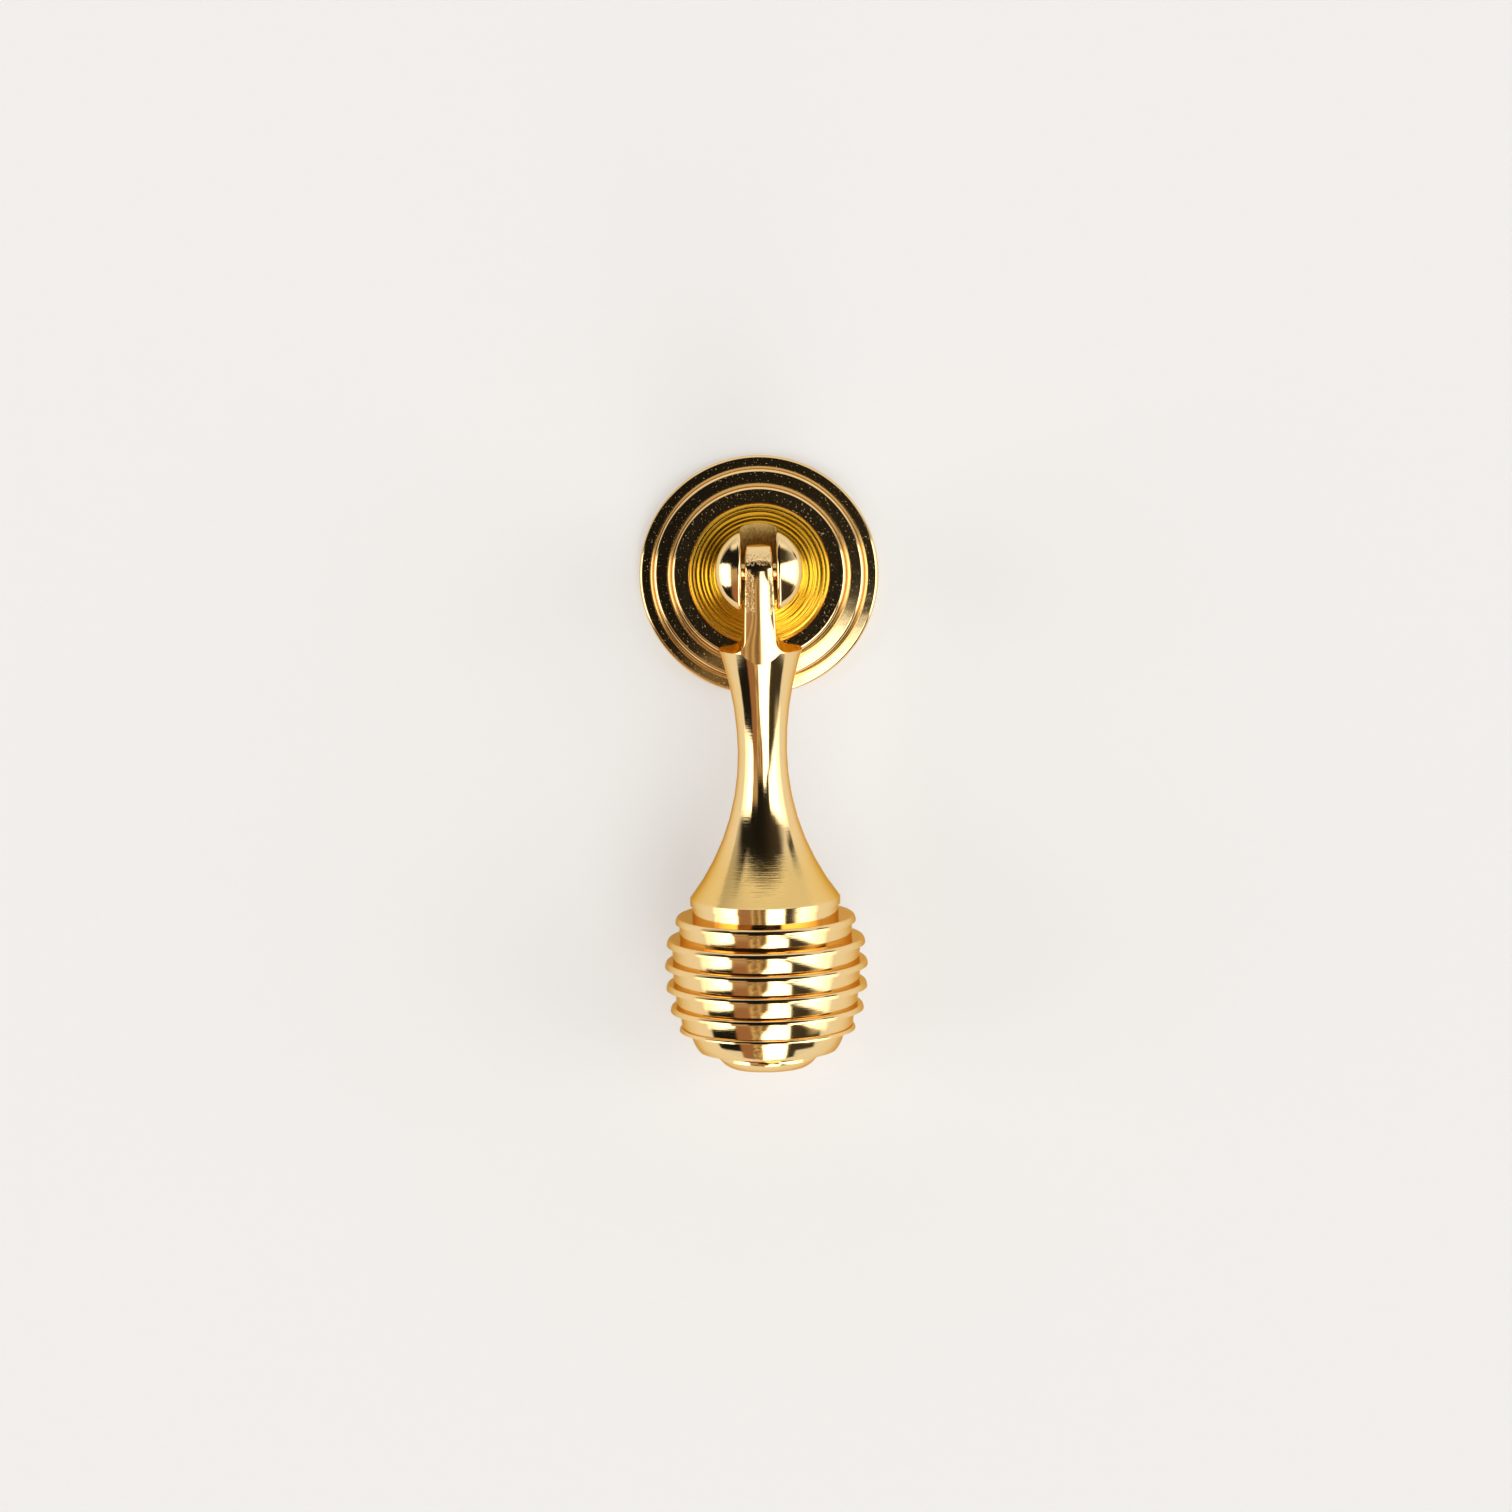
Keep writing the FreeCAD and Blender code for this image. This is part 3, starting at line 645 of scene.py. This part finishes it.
def make_post():
    """A slotted, domed head on a turned stem that runs up into it, with a spigot and a tapped hole."""
    skin = Skin(PIN_PLACE)
    add_ears(skin)
    add_core(skin)
    skin.turn, skin.origin = PLATE_PLACE
    stem_end = SLOT_FLOOR - PIVOT_HEIGHT + STEM_LAP
    mouth = TAP_RADIUS + THREAD_HEIGHT + MOUTH_GAP
    turn_profile(skin, [
        (mouth, 0, None),
        (SPIGOT_RADIUS, 0, None),
        (SPIGOT_RADIUS, -DISH_FLOOR, None),
        (STEM_RADIUS, -DISH_FLOOR, None),
        (STEM_RADIUS, stem_end, None),
        (0, stem_end, None),
    ], 1, SLIM_COLUMNS)
    add_thread(skin, mouth)
    return skin.piece("slotted_ball_post")


def make_pin():
    """A drawn pin with chamfered ends, turned about its own line."""
    skin = Skin(PIN_PLACE)
    end = HEAD_RADIUS - PIN_INSET
    turn_profile(skin, [
        (0, -end, None),
        (PIN_RADIUS - PIN_CHAMFER, -end, None),
        (PIN_RADIUS, PIN_CHAMFER - end, None),
        (PIN_RADIUS, end - PIN_CHAMFER, None),
        (PIN_RADIUS - PIN_CHAMFER, end, None),
        (0, end, None),
    ], -1, SLIM_COLUMNS)
    return skin.piece("cross_pin")


class Paint:
    """A socket of a node tree, with arithmetic that adds the nodes it needs."""

    def __init__(self, tree, socket=None):
        self.tree, self.socket = tree, socket

    def node(self, kind, settings=None, values=None, out=0):
        """Add a node: its settings first, then each input's value or link; gives the chosen output."""
        made = self.tree.nodes.new(kind)
        for name, setting in (settings or {}).items():
            setattr(made, name, setting)
        for name, value in (values or {}).items():
            if isinstance(value, Paint):
                self.tree.links.new(value.socket, made.inputs[name])
            else:
                made.inputs[name].default_value = value
        return Paint(self.tree, made.outputs[out] if made.outputs else None)

    def math(self, operation, *others):
        """A Math node on this value and the others."""
        return self.node("ShaderNodeMath", {"operation": operation}, dict(enumerate((self,) + others)))

    def __add__(self, other):
        return self.math("ADD", other)

    def __sub__(self, other):
        return self.math("SUBTRACT", other)

    def __rsub__(self, other):
        return self.math("MULTIPLY_ADD", -1.0, other)

    def __mul__(self, other):
        return self.math("MULTIPLY", other)

    def __truediv__(self, other):
        return self.math("DIVIDE", other)

    def __rtruediv__(self, other):
        return self.math("POWER", -1.0) * other

    def __neg__(self):
        return self * -1.0

    __radd__, __rmul__ = __add__, __mul__

    def vector(self, operation, *others):
        """A Vector Math node on this vector and the others."""
        return self.node("ShaderNodeVectorMath", {"operation": operation}, dict(enumerate((self,) + others)))

    def parts(self):
        """This vector's three values."""
        return [self.node("ShaderNodeSeparateXYZ", None, {0: self}, out) for out in range(3)]

    def join(self, y, z):
        """A vector of this value and two more."""
        return self.node("ShaderNodeCombineXYZ", None, {0: self, 1: y, 2: z})

    def rise(self, low, high):
        """0 below low, 1 above high, a soft step between; the other way round where low is the greater."""
        return self.node("ShaderNodeMapRange", {"interpolation_type": "SMOOTHSTEP"},
                         {"Value": self, "From Min": low, "From Max": high})

    def within(self, low, high, soft):
        """1 between low and high, with soft edges."""
        return self.rise(low - soft, low + soft) * (1 - self.rise(high - soft, high + soft))

    def mix(self, first, second):
        """A colour between two, by this share."""
        return self.node("ShaderNodeMix", {"data_type": "RGBA"}, {0: self, 6: first, 7: second}, 2)

    def noise(self, scale, detail=2.0, rough=0.5):
        """Noise of 0 to 1 over this vector."""
        return self.node("ShaderNodeTexNoise", None,
                         {"Vector": self, "Scale": scale, "Detail": detail, "Roughness": rough})


def colour(red, green, blue):
    """An opaque colour in linear light."""
    return (red, green, blue, 1.0)


def grey(value):
    """An even grey in linear light."""
    return colour(value, value, value)


# Brass as polished, where it is warmer and over which noise that comes in, and its tint at grazing angles.
BRASS, WARM_BRASS, WARM_SPREAD = colour(0.95, 0.70, 0.35), colour(0.96, 0.68, 0.32), (0.35, 0.7)
EDGE_TINT = colour(0.72, 0.46, 0.19)
# Brass of the other finishes, and two painted colours: shade in the plate's coves and a highlight on the
# web's lip.
SATIN_BRASS, PITTED_BRASS = colour(0.92, 0.62, 0.22), colour(0.62, 0.38, 0.14)
# The cove colour is painted shade: darker brass in the plate's coves.
DRAWN_BRASS, COVE_SHADE = colour(0.9, 0.62, 0.28), colour(0.72, 0.43, 0.14)
MILLED_DARK, MILLED_LIGHT = colour(0.62, 0.35, 0.08), colour(1.0, 0.82, 0.32)
# The lip's colour is a painted highlight: lighter brass where the web's top catches light.
LIP_HIGHLIGHT, DISH_WALL = colour(1.0, 0.76, 0.28), colour(0.9, 0.62, 0.09)
DISH_DARK, DISH_LIGHT = colour(0.85, 0.53, 0.045), colour(0.97, 0.68, 0.08)


def material(name, finish, place=None):
    """A brass material: the finish gets coordinates in millimetres, turned to the piece, and gives inputs."""
    made = bpy.data.materials.new(name)
    made.use_nodes = True
    tree = made.node_tree
    tree.nodes.clear()
    start = Paint(tree)
    turn, shift = place or ((0, 0, 0), (0, 0, 0))
    spot = start.node("ShaderNodeTexCoord", None, None, "Object")
    spot = start.node("ShaderNodeMapping", None, {
        "Vector": spot, "Location": shift, "Rotation": turn, "Scale": (1 / MM,) * 3})
    values = {"Metallic": 1.0, "Specular Tint": EDGE_TINT}
    values.update(finish(spot))
    shader = start.node("ShaderNodeBsdfPrincipled", None, values)
    start.node("ShaderNodeOutputMaterial", None, {"Surface": shader})
    return made


def bumped(height, normal=None):
    """A normal tilted by a height in millimetres."""
    values = {"Height": height, "Strength": 1.0, "Distance": MM}
    if normal:
        values["Normal"] = normal
    return height.node("ShaderNodeBump", None, values)


def polish(spot, streak):
    """Noise of polished brass: faint waves, fine marks stretched by the streak's three scales, and a tint."""
    wave = spot.noise(0.35, 1.0)
    fine = spot.vector("MULTIPLY", streak).noise(1.0, 3.0, 0.6)
    tint = spot.noise(0.2, 2.0)
    return wave, fine, tint


def drop_finish(spot):
    """Polished, with a satin skirt, and small pits beside the tang's edges and in a band over the eye."""
    satin_from, satin_to, polished_tang = (30.0, 36.0), (38.6, 39.0), (8.0, 11.0)
    pit_middle, pit_sides, pit_stretch, pit_band = 0.25, (0.75, 1.15), (0.0, 4.2, 0.6), (-2.2, -1.2, 0.25)
    pit_front, pit_depth, wave_height, mark_height, satin_height = (-2.0, 0.0), 0.06, 0.02, 0.004, 0.012
    polished_rough, mark_rough, satin_rough, pit_rough = 0.07, 0.04, 0.06, 0.2
    x, y, z = spot.parts()
    down = -z
    wave, fine, tint = polish(spot, (0.25, 0.25, 9.0))
    satin = down.rise(*satin_from) * (1 - down.rise(*satin_to))
    below_tang = down.rise(*polished_tang)
    beside = (x - pit_middle).math("ABSOLUTE").rise(*pit_sides) * down.within(*pit_stretch)
    pitted = beside.math("MAXIMUM", down.within(*pit_band)) * (1 - y.rise(*pit_front))
    pits = spot.vector("MULTIPLY", (1.0, 1.0, 0.6)).noise(4.0, 3.0, 0.7).rise(0.52, 0.62) * pitted
    height = wave * wave_height + fine * (mark_height + satin * satin_height) * below_tang - pits * pit_depth
    base = satin.mix(tint.rise(*WARM_SPREAD).mix(BRASS, WARM_BRASS), SATIN_BRASS)
    base = pits.mix(base, PITTED_BRASS)
    rough = polished_rough + fine * mark_rough + satin * satin_rough + pits * pit_rough
    return {"Base Color": base, "Roughness": rough, "Normal": bumped(height)}


def post_finish(spot):
    """Polished, with the slot left as milled: grained and dull, with a painted highlight at the web's lip."""
    cut_edge, slot_edge, slot_front, lip = (0.09, 0.05), (0.02, -0.12), (-1.5, -0.5), (5.25, 5.6)
    wave_height, mark_height, grain_height, lump_height, lip_ragged = 0.01, 0.003, 0.16, 0.1, 0.5
    polished_rough, mark_rough, slot_rough, slot_dullness = 0.07, 0.03, 0.4, 0.85
    x, y, z = spot.parts()
    depth = y + PIVOT_HEIGHT
    wave, fine, tint = polish(spot, (4.0, 0.3, 4.0))
    off_cutter = depth - CUTTER_SHIFT
    above = z.math("MAXIMUM", 0.0)
    from_cutter = (off_cutter * off_cutter + above * above).math("SQRT")
    cut = from_cutter.rise(*(CUTTER + edge for edge in cut_edge))
    slot = x.math("ABSOLUTE").rise(*(SLOT_HALF + edge for edge in slot_edge)) * depth.rise(*slot_front) * cut
    grain = spot.vector("MULTIPLY", (6.0, 1.0, 0.7)).noise(1.3, 4.0, 0.7)
    lump = spot.noise(4.0, 3.0, 0.7)
    height = wave * wave_height + fine * mark_height + slot * (grain * grain_height + lump * lump_height)
    # Painted highlight: lighter brass at the top of the slot, along the web's lip, ragged by noise.
    lip_highlight = slot * (z + lump * lip_ragged).rise(*lip)
    base = tint.rise(*WARM_SPREAD).mix(BRASS, WARM_BRASS)
    base = slot.mix(base, grain.rise(0.35, 0.65).mix(MILLED_DARK, MILLED_LIGHT))
    base = lip_highlight.mix(base, LIP_HIGHLIGHT)
    rough = polished_rough + fine * mark_rough + slot * slot_rough
    metal = 1 - slot * slot_dullness
    return {"Base Color": base, "Roughness": rough, "Metallic": metal, "Normal": bumped(height)}


def pin_finish(spot):
    """Drawn wire, with marks along its length."""
    wave, fine, tint = polish(spot, (0.4, 5.0, 5.0))
    drawn_rough, mark_rough, mark_height = 0.18, 0.12, 0.01
    base = tint.rise(0.3, 0.7).mix(BRASS, DRAWN_BRASS)
    rough = drawn_rough + fine * mark_rough
    return {"Base Color": base, "Roughness": rough, "Normal": bumped((fine + wave) * mark_height)}


def plate_finish(spot):
    """Polished and specked, with a dish and a back that keep the lathe tool's marks.

    A mark tilts the surface along the radius by a sine of the radius, shifted by noise. The dish's wall is
    shaded as nearly facing the front, as a shallow dish is.
    """
    lip, face_only, back_only, back_share = (-0.25, -0.05), (-0.6, -0.3), (-0.12, -0.02), 0.5
    wall_edge, cove_top, cove_foot, cove_edge = 0.05, 0.03, 0.05, 0.04
    mark_rate, mark_shift, mark_tilt, least_mark, along_mark = 13.0, 9.0, 0.75, 0.4, 0.01
    wall_marks, wall_frontward, wave_height, fine_height = 1.6, -2.9, 0.012, 0.002
    polished_rough, fine_rough, marked_rough, cove_rough, speck_rough = 0.06, 0.03, 0.13, 0.15, 0.5
    x, y, z = spot.parts()
    radius = (x * x + z * z).math("SQRT")
    wave, fine, tint = polish(spot, (1.2, 1.2, 1.2))
    dish = (1 - radius.rise(*(DISH_LIP + edge for edge in lip))) * (1 - y.rise(*face_only))
    wall = dish * radius.rise(DISH_FLOOR_RADIUS - wall_edge, DISH_FLOOR_RADIUS + wall_edge)
    back = y.rise(*back_only)
    marked = dish.math("MAXIMUM", back * back_share)
    round_axis = radius.join(x * along_mark, z * along_mark)
    coarse = round_axis.noise(0.8, 1.0)
    mark = (radius * mark_rate + round_axis.noise(1.9, 2.0, 0.7) * mark_shift).math("SINE")
    tilt = mark * mark_tilt * (least_mark + coarse) * marked * (1 + wall * wall_marks)
    outward = spot.node("ShaderNodeVectorMath", {"operation": "SCALE"},
                        {0: (x / radius).join(0.0, z / radius), "Scale": tilt})
    frontward = spot.node("ShaderNodeCombineXYZ", None, {1: wall * wall_frontward})
    facing = spot.node("ShaderNodeNewGeometry", None, None, "Normal")
    normal = facing.vector("ADD", outward).vector("ADD", frontward).vector("NORMALIZE")
    base = tint.rise(*WARM_SPREAD).mix(BRASS, WARM_BRASS)
    base = marked.mix(base, coarse.rise(0.35, 0.65).mix(DISH_DARK, DISH_LIGHT))
    base = wall.mix(base, DISH_WALL)
    low_cove, high_cove = (
        radius.within(foot - cove + cove_top, foot - cove_foot, cove_edge)
        for foot, cove in ((LOW_FOOT, LOW_COVE), (HIGH_FOOT, HIGH_COVE)))
    coves = (low_cove + high_cove) * (1 - back)
    # Painted shade: the coves are darkened. They are also made rougher, below.
    base = coves.mix(base, COVE_SHADE)
    speck = spot.noise(5.0, 2.0, 0.6).rise(0.66, 0.72) * (1 - dish)
    rough = polished_rough + fine * fine_rough + marked * marked_rough
    rough = rough + coves * cove_rough + speck * speck_rough
    height = wave * wave_height + fine * fine_height
    return {"Base Color": base, "Roughness": rough, "Normal": bumped(height, normal)}


# The studio's colours: what the camera sees behind the part, and what the brass mirrors.
BACKDROP, SHEET_PAPER = colour(0.845, 0.836, 0.822), colour(0.48, 0.475, 0.467)
SOFT_BOX, BEHIND = colour(3.0, 3.0, 2.95), colour(0.85, 0.85, 0.84)
DARK_ROOM, DIM_ROOM, DARK_PATCH = grey(0.01), colour(0.05, 0.04, 0.03), grey(0.03)
HAZE = colour(0.5, 0.45, 0.36)
PALE_LEFT, PALE_RIGHT, PALE_LOW, PALE_ARC = grey(0.5), grey(0.8), grey(0.82), grey(1.05)
RUSSET_LOW, RUSSET_HIGH = colour(0.34, 0.17, 0.09), colour(0.5, 0.36, 0.24)
SPECK_DARK, SPECK_LIGHT = colour(0.2, 0.12, 0.06), colour(0.72, 0.52, 0.28)
# How far down the strips reach, as a slope.
STRIP_FOOT = -1.2


def dark_room(across, up):
    """The dark room in pale surroundings: a box of slopes under a curved top, which steps up at the left.

    Its right side is hazy, above and below the middle. A pale arc lines its top, and a dark patch stands
    outside it.
    """
    sides, foot = (-0.87, 0.8, 0.03), (-0.62, -0.54)
    top_height, top_curve, top_blur = 0.385, 0.45, 0.02
    step_across, step_height, step_blur = (-0.38, -0.46), 0.16, 0.1
    thin_across, thin_up, thin_share = (0.35, 0.6), (0.1, 0.2), 0.8
    arc_height, arc_across = (0.03, 0.08, 0.02), (-0.42, 0.42, 0.05)
    haze_across, haze_up = (0.48, 0.68), (-0.36, -0.04, 0.06)
    patch_across, patch_up = (0.65, 0.9, 0.03), (0.27, 0.4, 0.03)
    step = across.rise(*step_across)
    over_top = up - (top_height - across * across * top_curve + step * step_height)
    blur = top_blur + step * step_blur
    room = across.within(*sides) * over_top.rise(blur, -blur) * up.rise(*foot)
    room = room * (1 - across.rise(*thin_across) * up.rise(*thin_up) * thin_share)
    pale = across.rise(-0.8, -0.2).mix(PALE_LEFT, PALE_RIGHT)
    pale = (over_top.within(*arc_height) * across.within(*arc_across)).mix(pale, PALE_ARC)
    pale = up.rise(0.0, 0.3).mix(PALE_LOW, pale)
    murk = across.rise(-0.1, 0.4).mix(DARK_ROOM, DIM_ROOM)
    murk = (across.rise(*haze_across) * up.within(*haze_up)).mix(murk, HAZE)
    light = room.mix(pale, murk)
    patch = across.within(*patch_across) * up.within(*patch_up)
    return patch.mix(light, DARK_PATCH)


def add_strips(light, across, up):
    """The strips below the middle: brown, dim, speckled, and a bright one that leans and narrows upward."""
    brown_across, brown_top, russet_up = (-0.4, -0.2, 0.02), (0.05, 0.03), (-0.2, -0.05)
    dim_across, dim_top = (0.27, 0.42, 0.02), (-0.5, 0.04)
    speckled_across, speckled_top, speck_scale = (-0.2, 0.1, 0.02), (-0.06, 0.02), 14.0
    bright_left, bright_right, bright_top = (-0.09, -0.05), (0.25, 0.29), (-0.03, 0.02)
    lean_up, lean_most, narrow_up, narrow_most = (-0.32, -0.16), 0.09, (-0.14, -0.03), 0.15
    brown = across.within(*brown_across) * up.within(STRIP_FOOT, *brown_top)
    light = brown.mix(light, up.rise(*russet_up).mix(RUSSET_LOW, RUSSET_HIGH))
    dim = across.within(*dim_across) * up.within(STRIP_FOOT, *dim_top)
    light = dim.mix(light, DIM_ROOM)
    speckled = across.within(*speckled_across) * up.within(STRIP_FOOT, *speckled_top)
    speck = across.join(up, 0.0).noise(speck_scale).rise(0.38, 0.62)
    light = speckled.mix(light, speck.mix(SPECK_DARK, SPECK_LIGHT))
    lean, narrow = up.rise(*lean_up) * lean_most, up.rise(*narrow_up) * narrow_most
    bright = (across - lean).rise(*bright_left) * (1 - (across + narrow).rise(*bright_right))
    bright = bright * up.within(STRIP_FOOT, *bright_top)
    return bright.mix(light, SOFT_BOX)


def add_soft_boxes(light, across, up):
    """Two soft boxes, faded at their outer sides, each between a sloping upper and a sloping lower edge."""
    edge, right_foot_edge = 0.02, 0.06
    left_fade, left_end, left_slope, left_top, left_foot = (-1.15, -0.5), (-0.39, -0.43), 0.16, 0.04, 0.13
    right_fade, right_end, right_top, right_foot = (1.15, 0.45), (0.2, 0.24), 0.01, 0.03
    right_top_slope, right_foot_slope = 0.27, 0.45
    left = across.rise(*left_fade) * across.rise(*left_end)
    left = left * (up - (left_top - across * left_slope)).rise(edge, -edge)
    left = left * (up + left_foot - across * left_slope).rise(-edge, edge)
    right = across.rise(*right_end) * across.rise(*right_fade)
    right = right * (up - (right_top + across * right_top_slope)).rise(edge, -edge)
    right = right * (up - right_foot + across * right_foot_slope).rise(-edge, right_foot_edge)
    return (left + right).mix(light, SOFT_BOX)


def light_room():
    """The studio round the part, as levels over the direction looked at.

    A direction is given as slopes: across and up, over one minus its share into the drawer front, so that a
    mirror seen from the front has the same slopes as its normal. The room, the strips and the soft boxes are
    placed by such slopes.
    """
    above_zero, behind = 1e-4, (1.0, 1.4)
    world = bpy.data.worlds.new("studio")
    bpy.context.scene.world = world
    world.use_nodes = True
    tree = world.node_tree
    tree.nodes.clear()
    start = Paint(tree)
    toward = start.node("ShaderNodeTexCoord", None, None, "Generated").vector("NORMALIZE")
    x, y, z = toward.parts()
    depth = 1 + above_zero - y
    across, up = x / depth, z / depth
    light = dark_room(across, up)
    light = add_strips(light, across, up)
    light = add_soft_boxes(light, across, up)
    light = (across * across + up * up).rise(*behind).mix(light, BEHIND)
    seen = start.node("ShaderNodeLightPath", None, None, "Is Camera Ray")
    shown = start.node("ShaderNodeBackground", None, {"Color": seen.mix(light, BACKDROP), "Strength": 1.0})
    start.node("ShaderNodeOutputWorld", None, {"Surface": shown})


def lay_sheet():
    """A pale sheet behind the plate: rings of points from a hole under the plate out to its rim.

    It is lit paper with a glow that only the camera and mirrors see, and clear from behind.
    """
    ring_radii, sheet_gap, glow_share = (13.9, 20.0, 60.0, 300.0, 3000.0), 0.3, 0.5
    radius = np.array(ring_radii)[:, None]
    angle = np.linspace(0, 2 * math.pi, 4 * QUARTER + 1)
    skin = Skin(PLATE_PLACE)
    points = stack(radius * np.cos(angle), radius * np.sin(angle), sheet_gap)
    skin.add(points, level((0, 0, -1), points))
    sheet = skin.piece("pale_sheet")
    made = bpy.data.materials.new("sheet_paper")
    made.use_nodes = True
    tree = made.node_tree
    tree.nodes.clear()
    start = Paint(tree)
    to_camera = start.node("ShaderNodeLightPath", None, None, "Is Camera Ray")
    to_mirror = start.node("ShaderNodeLightPath", None, None, "Is Glossy Ray")
    paper = start.node("ShaderNodeBsdfDiffuse", None, {"Color": SHEET_PAPER})
    glow = start.node("ShaderNodeEmission", None, {
        "Color": BACKDROP, "Strength": (to_camera + to_mirror) * glow_share})
    lit = start.node("ShaderNodeAddShader", None, {0: paper, 1: glow})
    clear = start.node("ShaderNodeBsdfTransparent")
    behind = start.node("ShaderNodeNewGeometry", None, None, "Backfacing")
    both = start.node("ShaderNodeMixShader", None, {0: behind, 1: lit, 2: clear})
    start.node("ShaderNodeOutputMaterial", None, {"Surface": both})
    sheet.data.materials.append(made)


def set_camera():
    """A camera square to the drawer front, a little over a metre off, rolled as the photograph is."""
    roll, distance, left, low = math.radians(1.1), 1079.0, -0.762, -21.73
    focal_pixels, image_pixels, sensor = 9000.0, 1512.0, 36.0
    camera = bpy.data.objects.new("camera", bpy.data.cameras.new("camera"))
    camera.data.sensor_width = sensor
    camera.data.lens = sensor * focal_pixels / image_pixels
    camera.data.clip_start, camera.data.clip_end = 0.01, 20.0
    camera.matrix_world = Matrix((
        (math.cos(roll), math.sin(roll), 0, left * MM),
        (0, 0, -1, -distance * MM),
        (-math.sin(roll), math.cos(roll), 0, low * MM),
        (0, 0, 0, 1),
    ))
    bpy.context.scene.collection.objects.link(camera)
    bpy.context.scene.camera = camera
    bpy.context.scene.view_settings.view_transform = "Standard"


plate, post, pin, drop = make_backplate(), make_post(), make_pin(), make_drop()
for piece, body, node, slot in (
        (plate, "base", "backplate", "plate_brass"),
        (post, "base", "ball_post", "post_brass"),
        (pin, "base", "pivot_pin", "pin_brass"),
        (drop, "drop", "drop", "drop_brass")):
    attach(piece, body)
    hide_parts(node)

# The drop's finish follows its own leaning axis, from the pin.
DROP_AXIS = ((-LEAN, 0, 0), (0, PIVOT_HEIGHT * math.cos(LEAN), -PIVOT_HEIGHT * math.sin(LEAN)))
for piece, name, finish, place in (
        (plate, "plate_brass_turned", plate_finish, None),
        (post, "post_brass_polished", post_finish, None),
        (pin, "pin_brass_drawn", pin_finish, None),
        (drop, "drop_brass_polished", drop_finish, DROP_AXIS)):
    piece.data.materials.append(material(name, finish, place))
light_room()
lay_sheet()
set_camera()
